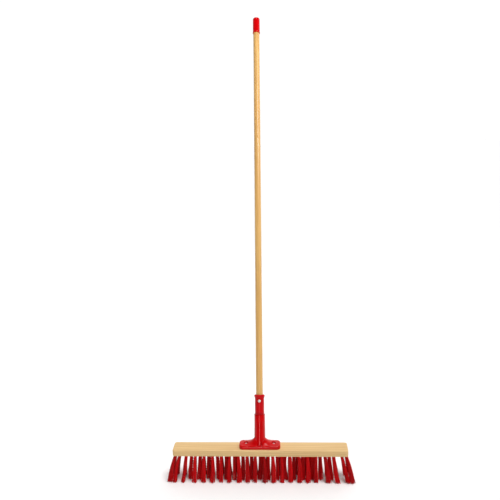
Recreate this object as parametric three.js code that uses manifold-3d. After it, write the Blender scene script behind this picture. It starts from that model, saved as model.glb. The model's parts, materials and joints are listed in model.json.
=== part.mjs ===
// Push broom: a wooden block with four rows of coarse bristle tufts, a plastic holder screwed
// to the block, and a long wooden handle that screws into the holder by a threaded sleeve.
//
// Millimetres, +Z up. The origin is on the floor, under the middle of the block. X runs along
// the block, and the handle leans towards +Y, where the user stands.

import * as THREE from 'three';
import { mergeVertices } from 'three/addons/utils/BufferGeometryUtils.js';
import Module from 'manifold-3d';

const wasm = await Module();
wasm.setup();

// ---------------------------------------------------------------- driving dimensions

const BLOCK_LENGTH = 600;
const BLOCK_DEPTH = 60;
const BLOCK_THICKNESS = 22;
const BLOCK_CORNER = 8;
const BLOCK_EDGE = 3;

const BRISTLE_LENGTH = 94;
const ROW_SPACING = 14;
const TUFT_PITCH = 29.6;
const END_TUFT_X = 291;
const NEXT_TUFT_X = 276;
const REAR_ROWS_SHIFT = -3;
const TUFT_ROOT_RADIUS = 4.2;
const TUFT_TIP_RADIUS = 8;
const TUFT_SIDES = 8;
const HOLE_DEPTH = 14;
const ROW_LEANS = [-11, -5, 5, 11];
const END_LEAN = 22.5;
const END_LEAN_FROM = 190;
const ANCHOR_BAR = 1.6;
const ANCHOR_BAR_DEPTH = 10;

const HANDLE_LEAN = THREE.MathUtils.degToRad(20);
const HANDLE_LENGTH = 1500;
const HANDLE_DIAMETER = 24;

const FOOT_LENGTH = 138;
const FOOT_DEPTH = 46;
const FOOT_HEIGHT = 12;
const FOOT_CORNER = 13;
const FOOT_EDGE = 3;
const FOOT_SCREW_X = 47.5;
const SCREW_SEAT_HEIGHT = 7.6;
const SCREW_SEAT_RADIUS = 6;
const SCREW_HOLE_RADIUS = 2.6;
const PILOT_RADIUS = 2.5;
const PILOT_DEPTH = 17;

const WEB_REACH = 44;
const WEB_FOOT_HEIGHT = 11;
const WEB_TOP_REACH = 17;
const WEB_TOP_HEIGHT = 28;
const WEB_THICKNESS = 20;
const WEB_REAR = 14;

const RECESS_WIDTH = 12;
const RECESS_HEIGHT = 16;
const RECESS_DEPTH = 18;
const RECESS_FRONT = 13.2;
const RECESS_MIDDLE = 20;

const TUBE_DIAMETER = 36.6;
const TUBE_MOUTH = 106;
const THREAD_PITCH = 5;
const THREAD_HEIGHT = 1.2;
const THREAD_CORE_RADIUS = 12.6;
const THREAD_CLEARANCE = 0.5;
const THREAD_BOTTOM = 80;
const THREAD_STEPS_PER_TURN = 6;

const WASHER_THICKNESS = 2;
const WASHER_DIAMETER = 37;
const SLEEVE_DIAMETER = 31;
const SLEEVE_BOTTOM = 56;
const COLLAR_DIAMETER = 35.4;
const COLLAR_HEIGHT = 12;
const COLLAR_TOP = 173;
const WOOD_IN_SLEEVE = 77;
const SLEEVE_LOWER_BORE = 9;
const SIDE_HOLE_RADIUS = 2.4;

const CAP_DIAMETER = 27;
const CAP_LENGTH = 64;
const CAP_RIM_DIAMETER = 28.6;
const CAP_TOP_WALL = 4;
const CAP_DOME = 8;

// Head radius, head height, shank radius, length.
const FOOT_SCREW = [4.8, 2.8, 2.2, 21];
const HANDLE_SCREW = [5, 2.6, 2, 17];
const SCREW_RECESS = 1.6;

const GAP = 0.3;
const ROUND_SEGMENTS = 24;

// ---------------------------------------------------------------- derived sizes

const BLOCK_BOTTOM = BRISTLE_LENGTH;
const BLOCK_TOP = BLOCK_BOTTOM + BLOCK_THICKNESS;
const HANDLE_RADIUS = HANDLE_DIAMETER / 2;
const WOOD_BOTTOM = COLLAR_TOP - WOOD_IN_SLEEVE;
const WOOD_TOP = WOOD_BOTTOM + HANDLE_LENGTH;
const WASHER_BOTTOM = TUBE_MOUTH + GAP;
const SHOULDER = WASHER_BOTTOM + WASHER_THICKNESS + GAP;
const HANDLE_SCREW_S = COLLAR_TOP - 20;

// ---------------------------------------------------------------- colours

const RED_GLOSS = { color: 0xb80812, roughness: 0.22, metalness: 0 };
const RED_SATIN = { color: 0xa80a14, roughness: 0.4, metalness: 0 };
const RED_BRISTLE = { color: 0x9c0610, roughness: 0.45, metalness: 0 };
const PALE_WOOD = { color: 0xe6c796, roughness: 0.6, metalness: 0 };
const VARNISHED_WOOD = { color: 0xdca864, roughness: 0.35, metalness: 0 };
const ZINC = { color: 0xc9cbcd, roughness: 0.3, metalness: 1 };

const broom = new THREE.Group();

// ---------------------------------------------------------------- helpers

function toSolid(geometry) {
  const bare = geometry.clone();
  bare.deleteAttribute('normal');
  bare.deleteAttribute('uv');
  const merged = mergeVertices(bare, 1e-4);
  return new wasm.Manifold(new wasm.Mesh({
    numProp: 3,
    vertProperties: new Float32Array(merged.attributes.position.array),
    triVerts: new Uint32Array(merged.index.array),
  }));
}

function toGeometry(solid) {
  const mesh = solid.getMesh();
  const geometry = new THREE.BufferGeometry();
  geometry.setAttribute('position', new THREE.BufferAttribute(mesh.vertProperties, 3));
  geometry.setIndex(new THREE.BufferAttribute(mesh.triVerts, 1));
  geometry.computeVertexNormals();
  return geometry;
}

function addMesh(name, geometry, look, parent = broom) {
  const mesh = new THREE.Mesh(geometry, new THREE.MeshStandardMaterial(look));
  mesh.name = name;
  parent.add(mesh);
  return mesh;
}

// A solid of revolution about +Z, from [radius, height] points.
function lathe(points, segments = ROUND_SEGMENTS) {
  const profile = points.map(([radius, height]) => new THREE.Vector2(radius, height));
  const geometry = new THREE.LatheGeometry(profile, segments);
  geometry.rotateX(Math.PI / 2);
  return geometry;
}

function rod(radius, bottom, top, segments = ROUND_SEGMENTS) {
  return lathe([[0, bottom], [radius, bottom], [radius, top], [0, top]], segments);
}

function box(width, depth, height, x, y, z) {
  const geometry = new THREE.BoxGeometry(width, depth, height);
  geometry.translate(x, y, z);
  return geometry;
}

function roundedRectangle(width, depth, radius) {
  const x = width / 2;
  const y = depth / 2;
  const shape = new THREE.Shape();
  shape.moveTo(-x + radius, -y);
  shape.lineTo(x - radius, -y);
  shape.absarc(x - radius, -y + radius, radius, -Math.PI / 2, 0, false);
  shape.lineTo(x, y - radius);
  shape.absarc(x - radius, y - radius, radius, 0, Math.PI / 2, false);
  shape.lineTo(-x + radius, y);
  shape.absarc(-x + radius, y - radius, radius, Math.PI / 2, Math.PI, false);
  shape.lineTo(-x, -y + radius);
  shape.absarc(-x + radius, -y + radius, radius, Math.PI, 1.5 * Math.PI, false);
  return shape;
}

// A flat plate with rounded edges all round, standing on z = bottom.
function roundedPlate(width, depth, height, corner, edge, bottom) {
  const inner = roundedRectangle(width - 2 * edge, depth - 2 * edge, corner - edge);
  const geometry = new THREE.ExtrudeGeometry(inner, {
    depth: height - 2 * edge,
    bevelThickness: edge,
    bevelSize: edge,
    bevelSegments: 2,
    curveSegments: 4,
  });
  geometry.translate(0, 0, bottom + edge);
  return geometry;
}

// Turns a geometry made about +Z into the leaning handle's frame.
function lean(geometry) {
  geometry.rotateX(-HANDLE_LEAN);
  geometry.translate(0, 0, BLOCK_TOP);
  return geometry;
}

// The points of a threaded stretch, close enough together to carry the helix.
function threadStretch(radius, bottom, top) {
  const steps = Math.round((top - bottom) / THREAD_PITCH * THREAD_STEPS_PER_TURN);
  const points = [];
  for (let i = 0; i <= steps; i += 1) {
    points.push([radius, bottom + (top - bottom) * i / steps]);
  }
  return points;
}

// Raises a thread on the stretch of a solid of revolution that has the given core radius. It
// fades in over one turn at the bottom, and out at the top if fadeTop is set.
function raiseThread(geometry, coreRadius, bottom, top, fadeTop) {
  const place = geometry.attributes.position;
  for (let i = 0; i < place.count; i += 1) {
    const x = place.getX(i);
    const y = place.getY(i);
    const z = place.getZ(i);
    const radius = Math.hypot(x, y);
    if (Math.abs(radius - coreRadius) < 0.01 && z > bottom && z <= top + 0.01) {
      const turn = Math.atan2(y, x) / (2 * Math.PI);
      const wave = 0.5 + 0.5 * Math.cos(2 * Math.PI * (z / THREAD_PITCH - turn));
      const fadeIn = Math.min(1, (z - bottom) / THREAD_PITCH);
      const fadeOut = fadeTop ? Math.min(1, (top - z) / THREAD_PITCH) : 1;
      const scale = 1 + THREAD_HEIGHT * wave * Math.min(fadeIn, Math.max(0, fadeOut)) / radius;
      place.setXY(i, x * scale, y * scale);
    }
  }
  return geometry;
}

// ---------------------------------------------------------------- tufts

// Rows run front (-Y) to rear (+Y). Rows 0 and 2 share one spacing, and rows 1 and 3 stand
// half a pitch aside. All rows end in a tuft close to the end of the block, and rows 0 and 2
// have one more beside it. The two rear rows are drilled a little to the left.
function rowPositions(row) {
  const shift = row >= 2 ? REAR_ROWS_SHIFT : 0;
  const regular = row % 2 === 0 ? 9 : 8;
  const first = row % 2 === 0 ? TUFT_PITCH / 2 : TUFT_PITCH;
  const places = row % 2 === 0 ? [NEXT_TUFT_X, -NEXT_TUFT_X] : [shift];
  places.push(END_TUFT_X, -END_TUFT_X);
  for (let i = 0; i < regular; i += 1) {
    const x = first + i * TUFT_PITCH;
    places.push(shift + x, shift - x);
  }
  return places.sort((one, other) => one - other);
}

function rowY(row) {
  return (row - 1.5) * ROW_SPACING;
}

function tuftGeometry(x, row) {
  const rootTop = BLOCK_BOTTOM + HOLE_DEPTH - GAP;
  const tuft = lathe([
    [0, 0],
    [TUFT_TIP_RADIUS, 0],
    [TUFT_ROOT_RADIUS, BLOCK_BOTTOM],
    [TUFT_ROOT_RADIUS, rootTop],
    [0, rootTop],
  ], TUFT_SIDES);
  const outwards = Math.max(0, (Math.abs(x) - END_LEAN_FROM) / (END_TUFT_X - END_LEAN_FROM));
  const leanX = Math.sign(x) * END_LEAN * outwards;
  const leanY = ROW_LEANS[row];
  const place = tuft.attributes.position;
  for (let i = 0; i < place.count; i += 1) {
    const drop = Math.max(0, (BLOCK_BOTTOM - place.getZ(i)) / BRISTLE_LENGTH);
    place.setX(i, place.getX(i) + x + leanX * drop);
    place.setY(i, place.getY(i) + rowY(row) + leanY * drop);
  }
  return tuft;
}

// A bar from the first tuft of a row to the last, inside the block.
function anchorBar(row, thickness) {
  const places = rowPositions(row);
  const first = places[0];
  const last = places.at(-1);
  const z = BLOCK_BOTTOM + ANCHOR_BAR_DEPTH;
  return box(last - first, thickness, thickness, (first + last) / 2, rowY(row), z);
}

const ROW_NAMES = ['front', 'inner_front', 'inner_rear', 'rear'];

function addTufts() {
  [0, 3].forEach((row) => {
    rowPositions(row).forEach((x, i) => {
      const number = String(i + 1).padStart(2, '0');
      addMesh(`tuft_${ROW_NAMES[row]}_${number}`, tuftGeometry(x, row), RED_BRISTLE);
    });
  });
  [1, 2].forEach((row) => {
    let joined = toSolid(anchorBar(row, ANCHOR_BAR));
    rowPositions(row).forEach((x) => {
      joined = joined.add(toSolid(tuftGeometry(x, row)));
    });
    addMesh(`tuft_row_${ROW_NAMES[row]}`, toGeometry(joined), RED_BRISTLE);
  });
}

// ---------------------------------------------------------------- block

function addBlock() {
  let block = toSolid(roundedPlate(
    BLOCK_LENGTH, BLOCK_DEPTH, BLOCK_THICKNESS, BLOCK_CORNER, BLOCK_EDGE, BLOCK_BOTTOM));
  const holeRadius = TUFT_ROOT_RADIUS + GAP + 0.1;
  [0, 1, 2, 3].forEach((row) => {
    rowPositions(row).forEach((x) => {
      const hole = rod(holeRadius, BLOCK_BOTTOM - 1, BLOCK_BOTTOM + HOLE_DEPTH, TUFT_SIDES);
      hole.translate(x, rowY(row), 0);
      block = block.subtract(toSolid(hole));
    });
  });
  [1, 2].forEach((row) => {
    block = block.subtract(toSolid(anchorBar(row, ANCHOR_BAR + 2 * GAP)));
  });
  [-1, 1].forEach((side) => {
    const pilot = rod(PILOT_RADIUS, BLOCK_TOP - PILOT_DEPTH, BLOCK_TOP + 1, 12);
    pilot.translate(side * FOOT_SCREW_X, 0, 0);
    block = block.subtract(toSolid(pilot));
  });
  addMesh('block', toGeometry(block), PALE_WOOD);
}

// ---------------------------------------------------------------- holder

// The concave webs that join the tube to the two wings, drawn in XZ and pushed along Y.
function webGeometry() {
  const web = new THREE.Shape();
  const bendX = (WEB_REACH + WEB_TOP_REACH) / 2 - 7;
  const bendZ = WEB_FOOT_HEIGHT + 2;
  web.moveTo(-WEB_REACH, 1);
  web.lineTo(-WEB_REACH, WEB_FOOT_HEIGHT);
  web.quadraticCurveTo(-bendX, bendZ, -WEB_TOP_REACH, WEB_TOP_HEIGHT);
  web.lineTo(WEB_TOP_REACH, WEB_TOP_HEIGHT);
  web.quadraticCurveTo(bendX, bendZ, WEB_REACH, WEB_FOOT_HEIGHT);
  web.lineTo(WEB_REACH, 1);
  web.closePath();
  const geometry = new THREE.ExtrudeGeometry(web, {
    depth: WEB_THICKNESS,
    bevelThickness: 2,
    bevelSize: 1.5,
    bevelSegments: 2,
    curveSegments: 6,
  });
  geometry.rotateX(Math.PI / 2);
  geometry.translate(0, WEB_REAR, BLOCK_TOP);
  return geometry;
}

function addHolder() {
  const tubeRadius = TUBE_DIAMETER / 2;
  const pad = roundedPlate(
    FOOT_LENGTH, FOOT_DEPTH, FOOT_HEIGHT + FOOT_EDGE, FOOT_CORNER, FOOT_EDGE,
    BLOCK_TOP - FOOT_EDGE);
  const tube = lean(lathe([
    [0, -12],
    [tubeRadius + 2.2, -12],
    [tubeRadius + 2.2, 8],
    [tubeRadius + 0.9, 16],
    [tubeRadius + 0.3, 28],
    [tubeRadius, 60],
    [tubeRadius, TUBE_MOUTH - 1],
    [tubeRadius - 1, TUBE_MOUTH],
    [0, TUBE_MOUTH],
  ]));
  let holder = toSolid(pad).add(toSolid(tube)).add(toSolid(webGeometry()));

  const boreRadius = THREAD_CORE_RADIUS + THREAD_CLEARANCE;
  const boreTop = TUBE_MOUTH + 1;
  const bore = lathe([
    [0, SLEEVE_BOTTOM - 4],
    [boreRadius, SLEEVE_BOTTOM - 4],
    ...threadStretch(boreRadius, THREAD_BOTTOM, boreTop),
    [0, boreTop],
  ]);
  raiseThread(bore, boreRadius, THREAD_BOTTOM, boreTop, false);
  holder = holder.subtract(toSolid(lean(bore)));

  // a moulded recess in the front of the tube, just above the foot
  const recess = roundedPlate(RECESS_WIDTH, RECESS_HEIGHT, RECESS_DEPTH, 5, 1.5, 0);
  recess.rotateX(Math.PI / 2);
  recess.translate(0, -RECESS_FRONT, BLOCK_TOP + RECESS_MIDDLE);
  holder = holder.subtract(toSolid(recess));

  const seat = BLOCK_TOP + SCREW_SEAT_HEIGHT;
  [-1, 1].forEach((side) => {
    const hole = lathe([
      [0, BLOCK_TOP - 1],
      [SCREW_HOLE_RADIUS, BLOCK_TOP - 1],
      [SCREW_HOLE_RADIUS, seat],
      [SCREW_SEAT_RADIUS, seat],
      [SCREW_SEAT_RADIUS + 1, seat + 7],
      [0, seat + 7],
    ], 20);
    hole.translate(side * FOOT_SCREW_X, 0, 0);
    holder = holder.subtract(toSolid(hole));
  });
  const below = box(400, 200, 60, 0, 0, BLOCK_TOP + GAP - 30);
  holder = holder.subtract(toSolid(below));
  addMesh('holder', toGeometry(holder), RED_GLOSS);
}

// ---------------------------------------------------------------- screws

// A pan-head wood screw with its head's underside at z = 0, pointing down.
function screwGeometry(headRadius, headHeight, shankRadius, length) {
  let screw = toSolid(lathe([
    [0, -length],
    [shankRadius, -length + 4],
    [shankRadius, 0],
    [headRadius, 0],
    [headRadius, headHeight * 0.35],
    [headRadius * 0.86, headHeight * 0.75],
    [headRadius * 0.5, headHeight],
    [0, headHeight],
  ], 16));
  const arm = headRadius * 1.1;
  screw = screw.subtract(toSolid(box(arm, 1, SCREW_RECESS, 0, 0, headHeight)));
  screw = screw.subtract(toSolid(box(1, arm, SCREW_RECESS, 0, 0, headHeight)));
  return toGeometry(screw);
}

function addFootScrews() {
  [['left', -1], ['right', 1]].forEach(([name, side]) => {
    const screw = addMesh(`holder_screw_${name}`, screwGeometry(...FOOT_SCREW), ZINC);
    screw.position.set(side * FOOT_SCREW_X, 0, BLOCK_TOP + SCREW_SEAT_HEIGHT + GAP);
  });
}

// ---------------------------------------------------------------- handle, on its leaning axis

const handleAxis = new THREE.Group();
handleAxis.position.set(0, 0, BLOCK_TOP);
handleAxis.rotation.x = -HANDLE_LEAN;
broom.add(handleAxis);

function sideHole(fromAxis, toAxis) {
  const hole = rod(SIDE_HOLE_RADIUS, fromAxis, toAxis, 12);
  hole.rotateX(Math.PI / 2);
  hole.translate(0, 0, HANDLE_SCREW_S);
  return toSolid(hole);
}

function addSleeve() {
  const body = SLEEVE_DIAMETER / 2;
  const collar = COLLAR_DIAMETER / 2;
  const core = THREAD_CORE_RADIUS;
  const threadTop = TUBE_MOUTH - 1;
  const outside = lathe([
    [0, SLEEVE_BOTTOM],
    [core - 1, SLEEVE_BOTTOM],
    [core, SLEEVE_BOTTOM + 1],
    ...threadStretch(core, THREAD_BOTTOM, threadTop),
    [core, SHOULDER],
    [body, SHOULDER],
    [body, COLLAR_TOP - COLLAR_HEIGHT - 2],
    [collar - 0.6, COLLAR_TOP - COLLAR_HEIGHT + 2],
    [collar, COLLAR_TOP - 5],
    [collar - 0.4, COLLAR_TOP - 1.2],
    [collar - 1.8, COLLAR_TOP],
    [0, COLLAR_TOP],
  ]);
  raiseThread(outside, core, THREAD_BOTTOM, threadTop, true);
  const woodBore = rod(HANDLE_RADIUS + GAP, WOOD_BOTTOM - GAP, COLLAR_TOP + 1);
  const lowerBore = rod(SLEEVE_LOWER_BORE, SLEEVE_BOTTOM - 1, WOOD_BOTTOM);
  const sleeve = toSolid(outside)
    .subtract(toSolid(woodBore))
    .subtract(toSolid(lowerBore))
    .subtract(sideHole(8, 30));
  addMesh('threaded_sleeve', toGeometry(sleeve), RED_SATIN, handleAxis);
}

function addWasher() {
  const inner = THREAD_CORE_RADIUS + GAP;
  const outer = WASHER_DIAMETER / 2;
  const top = WASHER_BOTTOM + WASHER_THICKNESS;
  const washer = lathe([
    [inner, WASHER_BOTTOM],
    [outer - 0.4, WASHER_BOTTOM],
    [outer, WASHER_BOTTOM + 0.4],
    [outer, top - 0.4],
    [outer - 0.4, top],
    [inner, top],
    [inner, WASHER_BOTTOM],
  ]);
  addMesh('seat_washer', washer, RED_SATIN, handleAxis);
}

function addHandleWood() {
  const edge = 1;
  const wood = toSolid(lathe([
    [0, WOOD_BOTTOM],
    [HANDLE_RADIUS - edge, WOOD_BOTTOM],
    [HANDLE_RADIUS, WOOD_BOTTOM + edge],
    [HANDLE_RADIUS, WOOD_TOP - edge],
    [HANDLE_RADIUS - edge, WOOD_TOP],
    [0, WOOD_TOP],
  ]));
  addMesh('handle', toGeometry(wood.subtract(sideHole(-3, 30))), VARNISHED_WOOD, handleAxis);
}

function addHandleScrew() {
  const screw = addMesh('handle_screw', screwGeometry(...HANDLE_SCREW), ZINC, handleAxis);
  screw.rotation.x = Math.PI / 2;
  screw.position.set(0, -(SLEEVE_DIAMETER / 2 + GAP), HANDLE_SCREW_S);
}

function addEndCap() {
  const outer = CAP_DIAMETER / 2;
  const rim = CAP_RIM_DIAMETER / 2;
  const inner = HANDLE_RADIUS + GAP;
  const top = WOOD_TOP + CAP_TOP_WALL;
  const bottom = top - CAP_LENGTH;
  const points = [[inner, bottom], [rim, bottom], [rim, bottom + 2.5], [outer, bottom + 4]];
  for (let i = 0; i <= 6; i += 1) {
    const angle = i / 6 * Math.PI / 2;
    const radius = outer - CAP_DOME + CAP_DOME * Math.cos(angle);
    points.push([radius, top - CAP_DOME + CAP_DOME * Math.sin(angle)]);
  }
  points.push([0, top], [0, WOOD_TOP + GAP], [inner, WOOD_TOP + GAP], [inner, bottom]);
  addMesh('end_cap', lathe(points), RED_GLOSS, handleAxis);
}

addBlock();
addTufts();
addHolder();
addFootScrews();
addSleeve();
addWasher();
addHandleWood();
addHandleScrew();
addEndCap();

export default broom;
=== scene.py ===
"""Looks of a push broom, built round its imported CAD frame. Metres, +Z up, origin on the floor."""
import json
import math

import bmesh
import bpy
import numpy as np
from mathutils import Matrix, Vector


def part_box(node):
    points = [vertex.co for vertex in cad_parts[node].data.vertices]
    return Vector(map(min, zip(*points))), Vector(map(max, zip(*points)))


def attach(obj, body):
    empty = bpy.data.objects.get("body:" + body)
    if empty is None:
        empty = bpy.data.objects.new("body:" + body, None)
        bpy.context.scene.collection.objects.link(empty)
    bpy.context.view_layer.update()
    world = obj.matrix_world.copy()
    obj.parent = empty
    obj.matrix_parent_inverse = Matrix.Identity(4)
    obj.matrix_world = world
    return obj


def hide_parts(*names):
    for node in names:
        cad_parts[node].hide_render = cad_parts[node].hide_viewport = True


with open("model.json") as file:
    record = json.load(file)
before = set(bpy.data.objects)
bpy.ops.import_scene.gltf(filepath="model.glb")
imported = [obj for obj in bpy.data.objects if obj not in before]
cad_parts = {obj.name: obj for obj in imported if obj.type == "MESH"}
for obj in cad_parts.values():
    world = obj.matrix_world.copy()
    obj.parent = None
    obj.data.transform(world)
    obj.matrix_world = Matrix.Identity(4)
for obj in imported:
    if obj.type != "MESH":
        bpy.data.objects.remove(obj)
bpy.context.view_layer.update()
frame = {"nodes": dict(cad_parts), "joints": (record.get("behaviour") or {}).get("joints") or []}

MM = 0.001
SEED = 4107

# ---------------------------------------------------------------- places taken from the frame

TURN = next(j for j in frame["joints"] if j["name"] == "handle_turn")
AXIS_BASE = Vector(TURN["pos_m"])
AXIS = Vector(TURN["axis"]).normalized()
LEAN = math.atan2(AXIS.y, AXIS.z)
# The handle's frame: its origin is on the block's top, and +Z runs up the handle.
LEANING = Matrix.Translation(AXIS_BASE) @ Matrix.Rotation(-LEAN, 4, "X")

BLOCK_LOW, BLOCK_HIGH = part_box("block")
BLOCK_TOP = BLOCK_HIGH.z
BLOCK_BOTTOM = BLOCK_LOW.z


# ---------------------------------------------------------------- camera

CAMERA_PLACE = Vector((0.0898, -1.863, 1.1515))
CAMERA_PITCH = math.radians(10.535)
CAMERA_YAW = math.radians(-3.268)
CAMERA_ROLL = math.radians(-1.492)
CAMERA_LENS = 42.27


def add_camera():
    forward = Vector((math.sin(CAMERA_YAW) * math.cos(CAMERA_PITCH),
                      math.cos(CAMERA_YAW) * math.cos(CAMERA_PITCH),
                      -math.sin(CAMERA_PITCH)))
    level = forward.cross(Vector((0, 0, 1))).normalized()
    rise = level.cross(forward)
    right = level * math.cos(CAMERA_ROLL) + rise * math.sin(CAMERA_ROLL)
    up = rise * math.cos(CAMERA_ROLL) - level * math.sin(CAMERA_ROLL)
    data = bpy.data.cameras.new("camera")
    data.lens = CAMERA_LENS
    data.sensor_width = 36
    camera = bpy.data.objects.new("camera", data)
    camera.matrix_world = Matrix((
        (right.x, up.x, -forward.x, CAMERA_PLACE.x),
        (right.y, up.y, -forward.y, CAMERA_PLACE.y),
        (right.z, up.z, -forward.z, CAMERA_PLACE.z),
        (0, 0, 0, 1),
    ))
    bpy.context.scene.collection.objects.link(camera)
    bpy.context.scene.camera = camera


# ---------------------------------------------------------------- node helpers

# The Mix node repeats its socket names for each data type, so its colour sockets go by number.
MIX_SHARE = 0
MIX_FIRST_COLOUR = 6
MIX_SECOND_COLOUR = 7
MIX_RESULT_COLOUR = 2


class Nodes:
    """A material's node tree, with short calls for the nodes that these materials use."""

    def __init__(self, name):
        self.material = bpy.data.materials.new(name)
        self.material.use_nodes = True
        self.tree = self.material.node_tree
        self.shader = self.tree.nodes["Principled BSDF"]

    def add(self, kind, **settings):
        node = self.tree.nodes.new(kind)
        for key, value in settings.items():
            setattr(node, key, value)
        return node

    def join(self, output, target):
        self.tree.links.new(output, target)

    def feed(self, value, target):
        if isinstance(value, bpy.types.NodeSocket):
            self.join(value, target)
        else:
            target.default_value = value

    def place(self, scale=(1, 1, 1)):
        coordinates = self.add("ShaderNodeTexCoord")
        mapping = self.add("ShaderNodeMapping")
        mapping.inputs["Scale"].default_value = scale
        self.join(coordinates.outputs["Object"], mapping.inputs["Vector"])
        return mapping.outputs["Vector"]

    def noise(self, vector, scale, detail=4.0, roughness=0.5, distortion=0.0):
        node = self.add("ShaderNodeTexNoise")
        self.join(vector, node.inputs["Vector"])
        node.inputs["Scale"].default_value = scale
        node.inputs["Detail"].default_value = detail
        node.inputs["Roughness"].default_value = roughness
        node.inputs["Distortion"].default_value = distortion
        return node.outputs["Fac"]

    def math(self, operation, a, b=0.0):
        node = self.add("ShaderNodeMath", operation=operation)
        self.feed(a, node.inputs[0])
        self.feed(b, node.inputs[1])
        return node.outputs[0]

    def spread(self, value, low, high, to_low=0.0, to_high=1.0):
        node = self.add("ShaderNodeMapRange")
        self.join(value, node.inputs["Value"])
        node.inputs["From Min"].default_value = low
        node.inputs["From Max"].default_value = high
        node.inputs["To Min"].default_value = to_low
        node.inputs["To Max"].default_value = to_high
        return node.outputs["Result"]

    def mix(self, share, a, b):
        node = self.add("ShaderNodeMix", data_type="RGBA")
        self.feed(share, node.inputs[MIX_SHARE])
        self.feed(a, node.inputs[MIX_FIRST_COLOUR])
        self.feed(b, node.inputs[MIX_SECOND_COLOUR])
        return node.outputs[MIX_RESULT_COLOUR]

    def ramp(self, value, stops):
        node = self.add("ShaderNodeValToRGB")
        self.join(value, node.inputs["Fac"])
        elements = node.color_ramp.elements
        while len(elements) < len(stops):
            elements.new(0.5)
        for element, (at, colour) in zip(elements, stops):
            element.position = at
            element.color = colour
        return node.outputs["Color"]

    def bump(self, height, strength, distance):
        node = self.add("ShaderNodeBump")
        self.join(height, node.inputs["Height"])
        node.inputs["Strength"].default_value = strength
        node.inputs["Distance"].default_value = distance
        self.join(node.outputs["Normal"], self.shader.inputs["Normal"])

    def set(self, **values):
        for key, value in values.items():
            self.feed(value, self.shader.inputs[key.replace("_", " ")])


def linear(red, green, blue):
    """A colour given in sRGB, from 0 to 255, as linear RGBA."""
    def one(v):
        v /= 255
        return v / 12.92 if v <= 0.04045 else ((v + 0.055) / 1.055) ** 2.4
    return one(red), one(green), one(blue), 1.0


# ---------------------------------------------------------------- materials

def moulded_plastic(name, deep, bright, roughness, grain, coat):
    """Moulded red plastic: cloudy pigment, faint flow marks, a fine skin and rubbed patches."""
    n = Nodes(name)
    place = n.place()
    cloud = n.noise(place, scale=28, detail=3)
    flow = n.noise(n.place(scale=(1, 1, 0.18)), scale=160, detail=2, distortion=0.6)
    tone = n.math("ADD", n.math("MULTIPLY", cloud, 0.7), n.math("MULTIPLY", flow, 0.3))
    colour = n.ramp(tone, [(0.3, deep), (0.7, bright)])
    n.set(Base_Color=colour)
    wear = n.noise(place, scale=55, detail=5, roughness=0.65)
    rubbed = n.spread(wear, low=0.35, high=0.75)
    n.set(Roughness=n.math("ADD", n.math("MULTIPLY", rubbed, 0.10), roughness))
    n.bump(n.noise(place, scale=grain, detail=2), strength=0.10, distance=0.0002)
    n.shader.inputs["Specular IOR Level"].default_value = 0.14
    n.shader.inputs["Coat Weight"].default_value = coat
    n.shader.inputs["Coat Roughness"].default_value = 0.04
    n.shader.inputs["Coat IOR"].default_value = 1.3
    return n.material


def wood(name, tones, along, ring_width, centre, roughness, coat):
    """Straight-grained wood: growth rings about a far centre line, pores, rays and slow drift.

    along is the grain's axis, 0 for X or 2 for Z; centre is the pith, in the other two axes."""
    n = Nodes(name)
    stretch = [9.0, 9.0, 9.0]
    stretch[along] = 0.9
    drift = n.noise(n.place(scale=stretch), scale=1.0, detail=3)
    coordinates = n.place()
    split = n.add("ShaderNodeSeparateXYZ")
    n.join(coordinates, split.inputs[0])
    across = [i for i in range(3) if i != along]
    first = n.math("SUBTRACT", split.outputs[across[0]], centre[0])
    second = n.math("SUBTRACT", split.outputs[across[1]], centre[1])
    squares = n.math("ADD", n.math("MULTIPLY", first, first), n.math("MULTIPLY", second, second))
    radius = n.math("ADD", n.math("SQRT", squares), n.math("MULTIPLY", drift, ring_width * 5))
    phase = n.math("FRACT", n.math("DIVIDE", radius, ring_width))
    late = n.spread(n.math("POWER", phase, 2.6), low=0.0, high=1.0)

    streak_scale = [420.0, 420.0, 420.0]
    streak_scale[along] = 7.0
    streaks = n.noise(n.place(scale=streak_scale), scale=1.0, detail=4, roughness=0.6)
    fibre_scale = [1500.0, 1500.0, 1500.0]
    fibre_scale[along] = 22.0
    fibres = n.noise(n.place(scale=fibre_scale), scale=1.0, detail=2)
    patches = n.noise(n.place(scale=stretch), scale=2.2, detail=2)

    light, middle, dark = tones
    body = n.mix(n.spread(patches, low=0.3, high=0.7), light, middle)
    body = n.mix(n.math("MULTIPLY", late, 0.55), body, dark)
    body = n.mix(n.spread(streaks, low=0.35, high=0.7, to_high=0.5), body, dark)
    body = n.mix(n.spread(fibres, low=0.62, high=0.75, to_high=0.35), body, dark)
    n.set(Base_Color=body)
    n.set(Roughness=n.spread(streaks, low=0.3, high=0.7,
                             to_low=roughness - 0.05, to_high=roughness + 0.08))
    relief = n.math("ADD", n.math("MULTIPLY", fibres, 0.6), n.math("MULTIPLY", streaks, 0.8))
    n.bump(relief, strength=0.12, distance=0.0003)
    n.shader.inputs["Coat Weight"].default_value = coat
    n.shader.inputs["Coat Roughness"].default_value = 0.18
    return n.material


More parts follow.
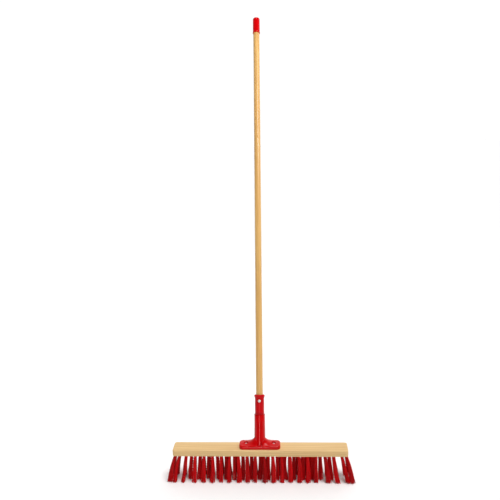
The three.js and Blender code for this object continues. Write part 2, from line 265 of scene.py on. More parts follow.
def bristle_plastic():
    """Coarse drawn filament: each strand has a tone of its own, and dust dulls the tips."""
    n = Nodes("bristle_filament")
    strand = n.add("ShaderNodeAttribute", attribute_name="tone")
    along = n.add("ShaderNodeAttribute", attribute_name="along")
    colour = n.ramp(strand.outputs["Fac"], [
        (0.0, linear(156, 0, 4)),
        (0.5, linear(214, 1, 9)),
        (1.0, linear(232, 4, 15)),
    ])
    mottle = n.noise(n.place(), scale=420, detail=3)
    colour = n.mix(n.spread(mottle, low=0.35, high=0.7, to_high=0.25), colour, linear(120, 0, 6))
    dust = n.spread(along.outputs["Fac"], low=0.9, high=1.0, to_high=0.06)
    colour = n.mix(dust, colour, linear(205, 96, 88))
    n.set(Base_Color=colour)
    n.set(Roughness=n.spread(mottle, low=0.3, high=0.7, to_low=0.30, to_high=0.46))
    n.bump(mottle, strength=0.2, distance=0.0002)
    n.shader.inputs["Specular IOR Level"].default_value = 0.15
    return n.material


def zinc_plate():
    """Bright zinc, clouded and slightly grainy."""
    n = Nodes("bright_zinc")
    cloud = n.noise(n.place(), scale=300, detail=4)
    n.set(Base_Color=n.ramp(cloud, [(0.3, (0.78, 0.76, 0.75, 1)), (0.7, (0.92, 0.90, 0.88, 1))]))
    n.set(Roughness=n.spread(cloud, low=0.3, high=0.7, to_low=0.36, to_high=0.5))
    n.bump(n.noise(n.place(), scale=2400, detail=2), strength=0.15, distance=0.0001)
    n.shader.inputs["Metallic"].default_value = 1.0
    return n.material


GLOSS_RED = moulded_plastic("gloss_red", linear(182, 0, 2), linear(206, 0, 6),
                            roughness=0.07, grain=900, coat=0.22)
SATIN_RED = moulded_plastic("satin_red", linear(180, 0, 6), linear(202, 0, 14),
                            roughness=0.28, grain=1400, coat=0.05)
BRISTLE = bristle_plastic()
ZINC = zinc_plate()
BLOCK_WOOD = wood(
    "block_wood",
    (linear(234, 201, 143), linear(227, 190, 130), linear(199, 155, 97)),
    along=0, ring_width=0.0052, centre=(0.05, -0.02), roughness=0.52, coat=0.0)
HANDLE_WOOD = wood(
    "handle_wood",
    (linear(233, 190, 116), linear(222, 172, 97), linear(182, 126, 62)),
    along=2, ring_width=0.0042, centre=(0.03, -0.045), roughness=0.36, coat=0.35)


# ---------------------------------------------------------------- mesh helpers

def new_piece(name, mesh, material, body, node, matrix=None):
    """Adds a visible piece that rides on a body and stands for a CAD node."""
    piece = bpy.data.objects.new(name, mesh)
    bpy.context.scene.collection.objects.link(piece)
    if matrix is not None:
        piece.matrix_world = matrix
    mesh.materials.append(material)
    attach(piece, body)
    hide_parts(node)


def soften(mesh, angle):
    """Smooth shading, with edges sharper than angle, in degrees, kept sharp."""
    mesh.shade_smooth()
    mesh.set_sharp_from_angle(angle=math.radians(angle))
    return mesh


def rings_to_mesh(name, rings, closed_profile=False):
    """Joins rings of points, each an array (sides, 3), with quads; open ends get a flat cap."""
    rings = np.asarray(rings)
    count, sides, _ = rings.shape
    mesh = bpy.data.meshes.new(name)
    faces = []
    last = count if closed_profile else count - 1
    for i in range(last):
        k = (i + 1) % count
        for j in range(sides):
            m = (j + 1) % sides
            faces.append((i * sides + j, i * sides + m, k * sides + m, k * sides + j))
    if not closed_profile:
        faces.append(tuple(range(sides - 1, -1, -1)))
        faces.append(tuple(range((count - 1) * sides, count * sides)))
    mesh.from_pydata(rings.reshape(-1, 3).tolist(), [], faces)
    mesh.update()
    return mesh


def turned(name, profile, sides=72, radial=None, closed_profile=False):
    """A turned shape about +Z from (radius, height) in mm; radial(angle, height) adds to radius."""
    angles = np.linspace(0, 2 * np.pi, sides, endpoint=False)
    rings = []
    for radius, height in profile:
        r = np.full(sides, float(radius))
        if radial is not None:
            r = r + radial(angles, radius, height)
        rings.append(np.stack([r * np.cos(angles), r * np.sin(angles),
                               np.full(sides, float(height))], axis=1) * MM)
    return rings_to_mesh(name, rings, closed_profile)


def arc(centre, radius, start, stop, steps):
    """Points on an arc in (radius, height) space, angles in degrees."""
    angles = np.radians(np.linspace(start, stop, steps))
    return [(centre[0] + radius * math.cos(a), centre[1] + radius * math.sin(a)) for a in angles]


def boolean(target, cutter, operation):
    """Applies one exact boolean between two temporary objects, and drops the cutter."""
    modifier = target.modifiers.new("cut", "BOOLEAN")
    modifier.operation = operation
    modifier.solver = "EXACT"
    modifier.object = cutter
    bpy.context.view_layer.update()
    evaluated = target.evaluated_get(bpy.context.evaluated_depsgraph_get())
    mesh = bpy.data.meshes.new_from_object(evaluated)
    target.modifiers.clear()
    old = target.data
    target.data = mesh
    bpy.data.meshes.remove(old)
    used = cutter.data
    bpy.data.objects.remove(cutter)
    bpy.data.meshes.remove(used)
    return target


def temporary(mesh, matrix=None):
    """A short-lived object for a boolean, with its place written into its mesh."""
    scratch = bpy.data.objects.new("scratch", mesh)
    bpy.context.scene.collection.objects.link(scratch)
    if matrix is not None:
        mesh.transform(matrix)
    return scratch


def take_mesh(scratch, name):
    """Takes the mesh back from a temporary object."""
    mesh = scratch.data
    bpy.data.objects.remove(scratch)
    mesh.name = name
    return mesh


def rounded_outline(half_length, half_depth, corner, count):
    """Evenly spaced points round a rounded rectangle, counter-clockwise."""
    straight_x = 2 * (half_length - corner)
    straight_y = 2 * (half_depth - corner)
    quarter = math.pi / 2 * corner
    total = 2 * (straight_x + straight_y) + 4 * quarter
    pieces = [
        (straight_y, (half_length, -half_depth + corner), (0, 1)),
        (quarter, (half_length - corner, half_depth - corner), 0),
        (straight_x, (half_length - corner, half_depth), (-1, 0)),
        (quarter, (-half_length + corner, half_depth - corner), 90),
        (straight_y, (-half_length, half_depth - corner), (0, -1)),
        (quarter, (-half_length + corner, -half_depth + corner), 180),
        (straight_x, (-half_length + corner, -half_depth), (1, 0)),
        (quarter, (half_length - corner, -half_depth + corner), 270),
    ]
    points = []
    for i in range(count):
        at = total * i / count
        for length, origin, way in pieces:
            if at <= length:
                if isinstance(way, tuple):
                    points.append((origin[0] + way[0] * at, origin[1] + way[1] * at))
                else:
                    angle = math.radians(way) + at / corner
                    points.append((origin[0] + corner * math.cos(angle),
                                   origin[1] + corner * math.sin(angle)))
                break
            at -= length
    return np.array(points)


# ---------------------------------------------------------------- block

BLOCK_CORNER = 8.0
TOP_EDGE = 3.2
BOTTOM_EDGE = 1.6
HOLE_RADIUS = 4.6
HOLE_DEPTH = 13.0
COUNTERSINK = 0.9
HOLE_SIDES = 20
BLOCK_OUTLINE_POINTS = 360

# The rows run along X, from the front (row 0) to the rear (row 3).
TUFT_PITCH = 29.6
ROW_SPACING = 14.0
REAR_ROWS_SHIFT = -3.0
END_TUFT_X = 291.0
NEXT_TUFT_X = 276.0
END_LEAN = 22.5
END_LEAN_FROM = 190.0
ROW_LEANS = (-11.0, -7.5, 7.5, 11.0)
ROW_NAMES = ("front", "inner_front", "inner_rear", "rear")
OUTER_ROWS = (0, 3)
REAR_HALF_FIRST_ROW = 2
MIDDLE_OF_ROWS = 1.5


def tuft_places():
    """(row, number, x, y, lean in x, lean in y, node) for each tuft, in mm, as the CAD has them."""
    places = []
    for row, row_name in enumerate(ROW_NAMES):
        shift = REAR_ROWS_SHIFT if row >= REAR_HALF_FIRST_ROW else 0.0
        if row % 2 == 0:
            first, regular, middle = TUFT_PITCH / 2, 9, [NEXT_TUFT_X, -NEXT_TUFT_X]
        else:
            first, regular, middle = TUFT_PITCH, 8, [shift]
        steps = [first + i * TUFT_PITCH for i in range(regular)]
        row_x = sorted(middle + [END_TUFT_X, -END_TUFT_X]
                       + [shift + x for x in steps] + [shift - x for x in steps])
        for number, x in enumerate(row_x, 1):
            outwards = max(0.0, (abs(x) - END_LEAN_FROM) / (END_TUFT_X - END_LEAN_FROM))
            lean_x = math.copysign(END_LEAN * outwards, x)
            if row in OUTER_ROWS:
                node = f"tuft_{row_name}_{number:02d}"
            else:
                node = f"tuft_row_{row_name}"
            y = (row - MIDDLE_OF_ROWS) * ROW_SPACING
            places.append((row, number, x, y, lean_x, ROW_LEANS[row], node))
    return places


def add_block():
    half = (BLOCK_HIGH - BLOCK_LOW) / 2 / MM
    rings = []

    def ring(inset, height):
        corner = max(BLOCK_CORNER - inset, 0.5)
        outline = rounded_outline(half.x - inset, half.y - inset, corner, BLOCK_OUTLINE_POINTS)
        z = np.full((BLOCK_OUTLINE_POINTS, 1), height)
        rings.append(np.hstack([outline, z]) * MM)

    bottom = BLOCK_BOTTOM / MM
    top = BLOCK_TOP / MM
    for angle in np.radians(np.linspace(90, 0, 5)):
        ring(BOTTOM_EDGE * (1 - math.cos(angle)), bottom + BOTTOM_EDGE * (1 - math.sin(angle)))
    for angle in np.radians(np.linspace(0, 90, 9)):
        ring(TOP_EDGE * (1 - math.cos(angle)), top - TOP_EDGE * (1 - math.sin(angle)))
    block = temporary(rings_to_mesh("block", rings))

    # One mesh of all the tuft holes, each a countersunk blind bore.
    bores = bmesh.new()
    sides = HOLE_SIDES
    profile = [(HOLE_RADIUS + COUNTERSINK, -1.0), (HOLE_RADIUS, COUNTERSINK),
               (HOLE_RADIUS, HOLE_DEPTH)]
    for _row, _number, x, y, *_rest in tuft_places():
        loops = []
        for radius, rise in profile:
            loops.append([bores.verts.new((
                (x + radius * math.cos(2 * math.pi * k / sides)) * MM,
                (y + radius * math.sin(2 * math.pi * k / sides)) * MM,
                BLOCK_BOTTOM + rise * MM)) for k in range(sides)])
        for low, high in zip(loops, loops[1:]):
            for k in range(sides):
                m = (k + 1) % sides
                bores.faces.new((low[k], low[m], high[m], high[k]))
        bores.faces.new(list(reversed(loops[0])))
        bores.faces.new(loops[-1])
    cutter_mesh = bpy.data.meshes.new("bores")
    bores.to_mesh(cutter_mesh)
    bores.free()
    block = boolean(block, temporary(cutter_mesh), "DIFFERENCE")
    mesh = soften(take_mesh(block, "block"), 40)
    new_piece("wooden_block", mesh, BLOCK_WOOD, "head", "block")


# ---------------------------------------------------------------- holder

FOOT_CORNER = 14.0
FOOT_EDGE = 3.4
FOOT_HALF_LENGTH = 70.3
FOOT_HALF_DEPTH = 23.7
FOOT_TOP = 11.4
FOOT_CROWN = 1.6
FOOT_SCREW_Y = 1.0
FOOT_UNDERSIDE = 0.3
FOOT_OUTLINE_POINTS = 480
FOOT_RINGS = 110
FOOT_EDGE_POINTS = 1200
SCREW_SEAT = 8.2
SEAT_EDGE = (6.4, 7.6)
BEAD_RADIUS = 8.6
SKIRT_LEVEL = 12.0
GUSSET_X = 9.6
TUBE_RADIUS = 18.3
TUBE_BORE = 14.4


def along_axis(node):
    """Lowest and highest place of a CAD node along the handle's axis, in mm above the block."""
    turn = LEANING.inverted()
    heights = [(turn @ v.co).z for v in frame["nodes"][node].data.vertices]
    return min(heights) / MM, max(heights) / MM


TUBE_MOUTH = along_axis("holder")[1]
SLEEVE_BOTTOM, SLEEVE_TOP = along_axis("threaded_sleeve")
WASHER_BOTTOM, WASHER_TOP = along_axis("seat_washer")
WOOD_BOTTOM, WOOD_TOP = along_axis("handle")
CAP_BOTTOM, CAP_TOP = along_axis("end_cap")
FOOT_SCREWS = [(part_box(node)[0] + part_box(node)[1]) / 2 for node in
               ("holder_screw_left", "holder_screw_right")]


def smooth_rise(value, low, high):
    t = np.clip((value - low) / (high - low), 0, 1)
    return t * t * (3 - 2 * t)


def foot_height(x, y, edge_distance):
    """Height of the foot's moulded top above the block, in mm, at plan points x, y."""
    height = FOOT_TOP + FOOT_CROWN * (1 - (y / FOOT_HALF_DEPTH) ** 2)

    # the skirt that climbs to the leaning tube, long towards the wings and short fore and aft
    centre = SKIRT_LEVEL * math.tan(LEAN)
    away = np.hypot(x, (y - centre) * math.cos(LEAN))
    share = np.where(away > 1e-6, np.abs(x) / np.maximum(away, 1e-6), 1.0) ** 2
    gap = np.clip(away - TUBE_RADIUS, 0, None)
    reach = 8 + 33 * share
    climb = 9 + 9 * share
    height = height + climb * np.clip(1 - gap / reach, 0, 1) ** 2.8

    # two gussets in front of the tube, with an arched hollow between them
    for side in (-1, 1):
        rib = 1 - smooth_rise(np.abs(x - side * GUSSET_X), 1.0, 3.0)
        slope = 27 - 1.5 * np.clip(-y - 12, 0, None) - 0.9 * np.clip(y + 12, 0, None)
        height = np.where(y < 0, np.maximum(height, rib * slope), height)
    hollow = (1 - smooth_rise(np.abs(x), 5.6, 7.8)) * (1 - smooth_rise(y, -14.0, -11.0))
    hollow = hollow * smooth_rise(y, -FOOT_HALF_DEPTH + 3.5, -FOOT_HALF_DEPTH + 6.0)
    height = height - hollow * np.clip(height - 5.0, 0, None) * 0.95

    # round screw seats, ringed by a low bead
    for side in (-1, 1):
        reach = np.hypot(x - FOOT_SCREWS[0].x / MM * -side, y - FOOT_SCREW_Y)
        bead = np.exp(-((reach - BEAD_RADIUS) / 1.3) ** 2) * 0.9
        seat = 1 - smooth_rise(reach, *SEAT_EDGE)
        height = (height + bead) * (1 - seat) + seat * SCREW_SEAT

    # a raised lip along the foot's edge
    lip = np.exp(-((edge_distance - 3.6) / 1.2) ** 2) * 0.5
    height = height + lip
    corner = np.clip(FOOT_EDGE - edge_distance, 0, FOOT_EDGE)
    drop = FOOT_EDGE - np.sqrt(np.clip(FOOT_EDGE ** 2 - corner ** 2, 0, None))
    return height - drop


def foot_mesh():
    """The foot as rings of points from its edge to its middle, with a short vertical skirt."""
    half = (FOOT_HALF_LENGTH, FOOT_HALF_DEPTH)
    outline = rounded_outline(*half, FOOT_CORNER, FOOT_OUTLINE_POINTS)
    dense = rounded_outline(*half, FOOT_CORNER, FOOT_EDGE_POINTS)
    rings = []
    for t in np.linspace(0.004, 1, FOOT_RINGS) ** 0.9:
        points = outline * t
        gaps = np.sqrt(((points[:, None, :] - dense[None, :, :]) ** 2).sum(2)).min(1)
        z = foot_height(points[:, 0], points[:, 1], gaps)
        rings.append(np.column_stack([points, z]) * MM)
    rim = rings[-1].copy()
    for part in (0.6, 0.25, 0.0):
        ring = rim.copy()
        ring[:, 2] = rim[:, 2] * part + FOOT_UNDERSIDE * MM * (1 - part)
        ring[:, :2] *= 1 + 0.006 * (1 - part)
        rings.append(ring)
    rings = [ring + np.array([0, 0, BLOCK_TOP]) for ring in reversed(rings)]
    return rings_to_mesh("foot", rings)


def add_holder():
    foot = temporary(foot_mesh())
    mouth = TUBE_MOUTH
    outside = [(TUBE_RADIUS + 0.5, 2.0), (TUBE_RADIUS + 0.5, 30.0), (TUBE_RADIUS + 0.35, 55.0)]
    outside += [(TUBE_RADIUS + 0.15, 85.0), (TUBE_RADIUS, mouth - 1.0)]
    outside += arc((TUBE_RADIUS - 1.0, mouth - 1.0), 1.0, 0, 90, 5)
    tube = temporary(turned("tube", outside, sides=96), LEANING)
    holder = boolean(foot, tube, "UNION")
    bore = [(TUBE_BORE - 1, SLEEVE_BOTTOM - 4), (TUBE_BORE, mouth - 1.2),
            (TUBE_BORE + 1.4, mouth + 1)]
    holder = boolean(holder, temporary(turned("bore", bore, sides=64), LEANING), "DIFFERENCE")
    below = temporary(turned("below", [(90, -30), (90, FOOT_UNDERSIDE)], sides=64),
                      Matrix.Translation((0, 0, BLOCK_TOP)))
    holder = boolean(holder, below, "DIFFERENCE")
    for seat in FOOT_SCREWS:
        hole = turned("hole", [(2.7, -2), (2.7, 20)], sides=24)
        place = Matrix.Translation((seat.x, FOOT_SCREW_Y * MM, BLOCK_TOP))
        holder = boolean(holder, temporary(hole, place), "DIFFERENCE")
    mesh = soften(take_mesh(holder, "holder"), 38)
    new_piece("screw_on_holder", mesh, GLOSS_RED, "head", "holder")


# ---------------------------------------------------------------- screws

SCREW_THREAD_PITCH = 1.8
SCREW_THREAD_DEPTH = 0.35
SCREW_THREAD_TOP = -9.0
SCREW_HEAD_RIM = 0.3
HANDLE_SCREW_OUT = 15.8


def screw_mesh(name, head_radius, head_height, shank_radius, length):
    """A pan-head wood screw with a cross recess, its head's underside at height 0."""
    core = shank_radius * 0.8
    neck = shank_radius * 0.96
    profile = [(0.15, -length), (shank_radius * 0.45, -length + 1.6), (core, -length + 4)]
    profile += [(core, SCREW_THREAD_TOP), (neck, -7.0), (neck, 0)]
    profile += [(head_radius - 0.25, 0.0), (head_radius, SCREW_HEAD_RIM)]
    dome = arc((0, 0), 1, 15, 86, 9)
    profile += [(head_radius * r, SCREW_HEAD_RIM + (head_height - SCREW_HEAD_RIM) * h)
                for r, h in dome]

    def cut_thread(angles, _radius, height):
        if not -length + 2 < height < SCREW_THREAD_TOP:
            return np.zeros_like(angles)
        wave = np.cos(angles - 2 * np.pi * height / SCREW_THREAD_PITCH)
        return SCREW_THREAD_DEPTH * np.clip(wave, 0, 1) ** 2

    shank = []
    for (r0, z0), (r1, z1) in zip(profile, profile[1:]):
        steps = max(1, int(abs(z1 - z0) / 0.4)) if z1 <= SCREW_THREAD_TOP else 1
        shank += [(r0 + (r1 - r0) * k / steps, z0 + (z1 - z0) * k / steps) for k in range(steps)]
    shank.append(profile[-1])
    screw = temporary(turned(name, shank, sides=40, radial=cut_thread))
    for angle in (0, 90):
        bar = bpy.data.meshes.new("bar")
        shape = bmesh.new()
        bmesh.ops.create_cube(shape, size=1)
        bmesh.ops.scale(shape, verts=shape.verts,
                        vec=(head_radius * 1.05 * MM, 0.95 * MM, head_height * 1.3 * MM))
        for v in shape.verts:
            if v.co.z < 0:
                v.co.x *= 0.35
        shape.to_mesh(bar)
        shape.free()
        place = Matrix.Translation((0, 0, head_height * 1.05 * MM)) @ \
            Matrix.Rotation(math.radians(angle), 4, "Z")
        screw = boolean(screw, temporary(bar, place), "DIFFERENCE")
    return soften(take_mesh(screw, name), 32)


def add_screws():
    for node, seat, turn in (("holder_screw_left", FOOT_SCREWS[0], 20),
                             ("holder_screw_right", FOOT_SCREWS[1], -33)):
        mesh = screw_mesh(node, head_radius=4.8, head_height=2.8, shank_radius=2.2, length=20.5)
        height = BLOCK_TOP + (SCREW_SEAT + 0.1) * MM
        place = Matrix.Translation((seat.x, FOOT_SCREW_Y * MM, height)) @ \
            Matrix.Rotation(math.radians(turn), 4, "Z")
        new_piece(node + "_zinc", mesh, ZINC, "head", node, matrix=place)
    low, high = along_axis("handle_screw")
    mesh = screw_mesh("handle_screw", head_radius=5.0, head_height=2.6, shank_radius=2.0,
                      length=16.5)
    place = LEANING @ Matrix.Translation((0, -HANDLE_SCREW_OUT * MM, (low + high) / 2 * MM)) @ \
        Matrix.Rotation(math.radians(90), 4, "X") @ Matrix.Rotation(math.radians(30), 4, "Z")
    new_piece("handle_fixing_screw", mesh, ZINC, "handle", "handle_screw",
              matrix=place)


# ---------------------------------------------------------------- sleeve, washer, handle, cap

THREAD_PITCH = 5.0
THREAD_DEPTH = 1.3
THREAD_LENGTH = 26
SPIGOT_RADIUS = 13.7
WOOD_RADIUS = 12.0
SLEEVE_BORE = 12.25
SLEEVE_RADIUS = 15.9
COLLAR_RADIUS = 18.2
COLLAR_TOP = SLEEVE_TOP + 1.0


def add_sleeve():
    shoulder = WASHER_TOP + 0.3
    thread_top = TUBE_MOUTH - 1.5
    thread_bottom = TUBE_MOUTH - THREAD_LENGTH

    def cut_thread(angles, radius, height):
        if not thread_bottom <= height <= thread_top or radius < WOOD_RADIUS:
            return np.zeros_like(angles)
        wave = 0.5 + 0.5 * np.cos(2 * np.pi * height / THREAD_PITCH - angles)
        return -THREAD_DEPTH * (1 - smooth_rise(wave, 0.15, 0.8))

    core = SPIGOT_RADIUS - THREAD_DEPTH
    outside = [(SPIGOT_RADIUS - 2.4, SLEEVE_BOTTOM), (core, SLEEVE_BOTTOM + 1.2),
               (core, thread_bottom - 0.4)]
    outside += [(SPIGOT_RADIUS, h) for h in np.arange(thread_bottom, thread_top, 0.35)]
    outside += [(SPIGOT_RADIUS - 1.2, thread_top + 0.2), (SPIGOT_RADIUS - 1.2, shoulder)]
    outside += arc((SLEEVE_RADIUS - 0.7, shoulder + 0.7), 0.7, -90, 0, 4)
    outside += [(SLEEVE_RADIUS, shoulder + 10), (SLEEVE_RADIUS, COLLAR_TOP - 12.5)]
    outside += [(SLEEVE_RADIUS + 0.4, COLLAR_TOP - 10.6), (SLEEVE_RADIUS + 1.3, COLLAR_TOP - 8.8)]
    outside += [(COLLAR_RADIUS - 0.5, COLLAR_TOP - 7.0)]
    outside += arc((COLLAR_RADIUS - 3.6, COLLAR_TOP - 3.6), 3.6, -20, 78, 12)
    inside = [(12.9, COLLAR_TOP), (SLEEVE_BORE, COLLAR_TOP - 0.9),
              (SLEEVE_BORE, WOOD_BOTTOM - 0.3), (9.0, WOOD_BOTTOM - 0.3), (9.0, SLEEVE_BOTTOM)]
    sleeve = temporary(turned("sleeve", outside + inside, sides=120, radial=cut_thread,
                              closed_profile=True))
    low, high = along_axis("handle_screw")
    hole = turned("hole", [(2.5, 8), (2.5, 14.9), (5.6, 15.0), (5.6, 30)], sides=32)
    place = Matrix.Translation((0, 0, (low + high) / 2 * MM)) @ \
        Matrix.Rotation(math.radians(90), 4, "X")
    sleeve = boolean(sleeve, temporary(hole, place), "DIFFERENCE")
    mesh = soften(take_mesh(sleeve, "sleeve"), 38)
    new_piece("threaded_handle_sleeve", mesh, SATIN_RED, "handle",
              "threaded_sleeve", matrix=LEANING)


def add_washer():
    outer = 19.0
    inner = 13.0
    edge = 0.6
    profile = [(inner, WASHER_BOTTOM), (outer - edge, WASHER_BOTTOM)]
    profile += arc((outer - edge, WASHER_BOTTOM + edge), edge, -90, 0, 4)
    profile += arc((outer - edge, WASHER_TOP - edge), edge, 0, 90, 4)
    profile += [(inner, WASHER_TOP)]
    mesh = soften(turned("washer", profile, sides=96, closed_profile=True), 40)
    new_piece("seating_washer", mesh, SATIN_RED, "washer", "seat_washer",
              matrix=LEANING)


def add_handle():
    radius = WOOD_RADIUS
    heights = np.concatenate([
        [WOOD_BOTTOM], WOOD_BOTTOM + np.array([0.3, 1.0]),
        np.linspace(WOOD_BOTTOM + 12, WOOD_TOP - 12, 180),
        WOOD_TOP - np.array([1.0, 0.3]), [WOOD_TOP]])
    ends = {WOOD_BOTTOM: 1.0, WOOD_TOP: 1.0}

    def turned_marks(angles, r, height):
        if r < radius - 0.5:
            return np.zeros_like(angles)
        slow = 0.06 * math.sin(height / 61.0 + 1.3) + 0.04 * math.sin(height / 23.0)
        oval = 0.05 * np.cos(2 * (angles - height / 400.0))
        return slow + oval - 0.08

    profile = [(radius - ends.get(h, 0.0), h) for h in heights]
    mesh = soften(turned("handle", profile, sides=64, radial=turned_marks), 40)
    new_piece("wooden_handle", mesh, HANDLE_WOOD, "handle", "handle",
              matrix=LEANING)


def add_cap():
    outer = 13.5
    inner = 12.3
    rim = 14.3
    dome = 7.5
    profile = [(inner, CAP_BOTTOM + 0.2), (inner + 0.3, CAP_BOTTOM)]
    profile += arc((rim - 0.5, CAP_BOTTOM + 0.5), 0.5, -90, 0, 4)
    profile += arc((rim - 0.6, CAP_BOTTOM + 2.6), 0.6, 0, 80, 4)
    profile += [(outer + 0.15, CAP_BOTTOM + 3.5), (outer, CAP_BOTTOM + 5)]
    profile += [(outer, CAP_BOTTOM + 20), (outer - 0.05, CAP_TOP - dome - 10)]
    profile += arc((outer - dome, CAP_TOP - dome), dome, 0, 72, 12)
    profile += [((outer - dome) * 0.75, CAP_TOP - 0.12), ((outer - dome) * 0.3, CAP_TOP - 0.02)]
    profile += [(0.2, CAP_TOP), (0.2, WOOD_TOP + 0.3), (inner, WOOD_TOP + 0.3)]
    mesh = soften(turned("cap", profile, sides=96, closed_profile=True), 38)
    new_piece("domed_end_cap", mesh, GLOSS_RED, "handle", "end_cap",
              matrix=LEANING)


# ---------------------------------------------------------------- bristles

STRANDS = 28
STRAND_RADIUS = 0.9
STRAND_SIDES = 5
STRAND_RINGS = 64
CRIMP_LENGTH = 9.0
ROOT_DEPTH = 7.0
TIP_SPREAD = 8.0
TIP_HEIGHTS = (0.05, 2.4)
CRIMP_SIZES = (0.6, 1.15)
FAN_POWER = 0.85
GOLDEN_ANGLE = 2.39996


def tuft_mesh(name, root, lean, random):
    """A bundle of crimped strands from its hole at root to tips spread about root + lean, in mm."""
    along = np.linspace(0, 1, STRAND_RINGS)
    bottom = BLOCK_BOTTOM / MM
    corners = 2 * np.pi * np.arange(STRAND_SIDES) / STRAND_SIDES
    sway = random.normal(0, 1, 2) * (2.2, 1.6)
    bow = random.normal(0, 1.5, 2)
    flatten = random.uniform(0.88, 1.12)
    points = np.zeros((STRANDS, STRAND_RINGS, STRAND_SIDES, 3))
    for i in range(STRANDS):
        turn = i * GOLDEN_ANGLE + random.uniform(-0.3, 0.3)
        reach = math.sqrt((i + 0.5) / STRANDS)
        way = np.array([math.cos(turn), math.sin(turn)])
        start = way * reach * (HOLE_RADIUS - STRAND_RADIUS - 0.1)
        fan = way * reach * TIP_SPREAD * (flatten, 1 / flatten)
        tip = lean + sway + fan + random.normal(0, 0.9, 2)
        tip_height = random.uniform(*TIP_HEIGHTS)
        height = bottom + ROOT_DEPTH - along * (bottom + ROOT_DEPTH - tip_height)
        below = np.clip((bottom - height) / bottom, 0, 1)
        crimp_way = random.uniform(0, 2 * np.pi)
        size = random.uniform(*CRIMP_SIZES)
        pace = CRIMP_LENGTH * random.uniform(0.93, 1.07)
        phase = 2 * np.pi * height / pace + random.uniform(0, 2 * np.pi)
        wave = size * np.sin(phase) * np.clip(below * 8, 0, 1)
        swell = bow * np.sin(np.pi * below)[:, None]
        middle = root + start + (tip - start) * (below ** FAN_POWER)[:, None] + swell
        middle = middle + wave[:, None] * (math.cos(crimp_way), math.sin(crimp_way))
        radius = STRAND_RADIUS * random.uniform(0.9, 1.1)
        points[i, :, :, 0] = middle[:, :1] + radius * np.cos(corners + turn)
        points[i, :, :, 1] = middle[:, 1:] + radius * np.sin(corners + turn)
        points[i, :, :, 2] = height[:, None]
    total = STRANDS * STRAND_RINGS * STRAND_SIDES
    index = np.arange(total).reshape(STRANDS, STRAND_RINGS, STRAND_SIDES)
    low = index[:, 1:, :]
    high = index[:, :-1, :]
    sides = np.stack([low, np.roll(low, -1, 2), np.roll(high, -1, 2), high], axis=-1)
    caps = np.concatenate([index[:, 0, :], index[:, -1, ::-1]])
    mesh = bpy.data.meshes.new(name)
    faces = sides.reshape(-1, 4).tolist() + caps.tolist()
    mesh.from_pydata((points.reshape(-1, 3) * MM).tolist(), [], faces)
    tone = mesh.attributes.new("tone", "FLOAT", "POINT")
    tuft_tone = random.normal(0.5, 0.12)
    strand_tone = np.clip(random.normal(tuft_tone, 0.22, STRANDS), 0, 1)
    tone.data.foreach_set("value", np.repeat(strand_tone, STRAND_RINGS * STRAND_SIDES))
    length = mesh.attributes.new("along", "FLOAT", "POINT")
    length.data.foreach_set("value", np.tile(np.repeat(along, STRAND_SIDES), STRANDS))
    mesh.update()
    mesh.shade_smooth()
    return mesh


def add_bristles():
    random = np.random.default_rng(SEED)
    for row, number, x, y, lean_x, lean_y, node in tuft_places():
        name = f"bristles_{ROW_NAMES[row]}_{number:02d}"
        mesh = tuft_mesh(name, np.array([x, y]), np.array([lean_x, lean_y]), random)
        new_piece(name, mesh, BRISTLE, "head", node)


# ---------------------------------------------------------------- floor and light

FLOOR_HALF_SIZE = 150
FLOOR_GREY = 0.97


def add_floor():
    mesh = bpy.data.meshes.new("floor")
    shape = bmesh.new()
    bmesh.ops.create_grid(shape, x_segments=1, y_segments=1, size=FLOOR_HALF_SIZE)
    shape.to_mesh(mesh)
    shape.free()
    n = Nodes("floor")
    n.set(Base_Color=(FLOOR_GREY, FLOOR_GREY, FLOOR_GREY, 1), Roughness=1.0)
    n.shader.inputs["Specular IOR Level"].default_value = 0.0
    floor = bpy.data.objects.new("floor", mesh)
    mesh.materials.append(n.material)
    bpy.context.scene.collection.objects.link(floor)


def add_light(name, place, aim, width, height, power, spread):
    data = bpy.data.lights.new(name, "AREA")
    data.shape = "RECTANGLE"
    data.size = width
    data.size_y = height
    data.energy = power
    data.spread = math.radians(spread)
    light = bpy.data.objects.new(name, data)
    light.location = place
    light.rotation_euler = (Vector(aim) - Vector(place)).to_track_quat("-Z", "Y").to_euler()
    bpy.context.scene.collection.objects.link(light)


# Sky strengths near the horizon and overhead, and its share on the camera's side and the left.
HORIZON = 1.35
ZENITH = 0.95
CAMERA_SIDE = 0.2
LEFT_SIDE = 0.5
BACKDROP = 1.05
WHITE = (1.0, 1.0, 1.0, 1)
SUN = 2.0
SUN_ANGLE = math.radians(30)
SUN_TILT = (math.radians(9), math.radians(13), 0)


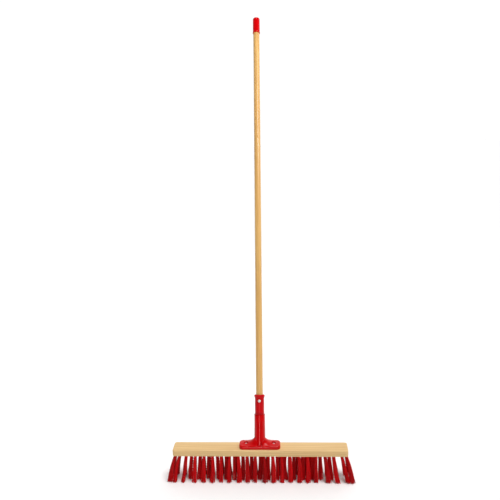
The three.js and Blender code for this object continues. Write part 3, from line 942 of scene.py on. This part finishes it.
def add_sky():
    """Soft studio light, strongest from behind and above. The camera sees a plain white backdrop
    all round in its place."""
    world = bpy.data.worlds.new("studio")
    world.use_nodes = True
    tree = world.node_tree

    def fade(value, low, high, first, last):
        node = tree.nodes.new("ShaderNodeMapRange")
        node.interpolation_type = "SMOOTHSTEP"
        node.inputs["From Min"].default_value = low
        node.inputs["From Max"].default_value = high
        node.inputs["To Min"].default_value = first
        node.inputs["To Max"].default_value = last
        tree.links.new(value, node.inputs["Value"])
        return node.outputs["Result"]

    def times(first, second):
        node = tree.nodes.new("ShaderNodeMath")
        node.operation = "MULTIPLY"
        tree.links.new(first, node.inputs[0])
        tree.links.new(second, node.inputs[1])
        return node.outputs[0]

    coordinates = tree.nodes.new("ShaderNodeTexCoord")
    split = tree.nodes.new("ShaderNodeSeparateXYZ")
    tree.links.new(coordinates.outputs["Generated"], split.inputs[0])
    height = fade(split.outputs["Z"], low=0.36, high=0.75, first=HORIZON, last=ZENITH)
    depth = fade(split.outputs["Y"], low=-0.3, high=0.5, first=CAMERA_SIDE, last=1.0)
    side = fade(split.outputs["X"], low=-0.9, high=0.9, first=LEFT_SIDE, last=1.0)
    lighting = tree.nodes["Background"]
    lighting.inputs["Color"].default_value = WHITE
    tree.links.new(times(times(height, depth), side), lighting.inputs["Strength"])
    backdrop = tree.nodes.new("ShaderNodeBackground")
    backdrop.inputs["Color"].default_value = WHITE
    backdrop.inputs["Strength"].default_value = BACKDROP
    seen = tree.nodes.new("ShaderNodeLightPath")
    mixed = tree.nodes.new("ShaderNodeMixShader")
    tree.links.new(seen.outputs["Is Camera Ray"], mixed.inputs[0])
    tree.links.new(lighting.outputs[0], mixed.inputs[1])
    tree.links.new(backdrop.outputs[0], mixed.inputs[2])
    tree.links.new(mixed.outputs[0], tree.nodes["World Output"].inputs["Surface"])
    bpy.context.scene.world = world


def add_lights():
    add_sky()
    data = bpy.data.lights.new("overhead", "SUN")
    data.energy = SUN
    data.angle = SUN_ANGLE
    sun = bpy.data.objects.new("overhead", data)
    sun.rotation_euler = SUN_TILT
    bpy.context.scene.collection.objects.link(sun)
    add_light("front_strip", (-0.12, -2.48, 0.85), aim=(0, 0, 0.2),
              width=0.2, height=1.0, power=9, spread=180)
    add_light("high_key", (0.9, -0.9, 2.4), aim=(0, 0.52, 1.55),
              width=0.5, height=0.5, power=4, spread=80)
    bpy.context.scene.view_settings.view_transform = "Standard"


add_camera()
add_block()
add_holder()
add_screws()
add_sleeve()
add_washer()
add_handle()
add_cap()
add_bristles()
add_floor()
add_lights()
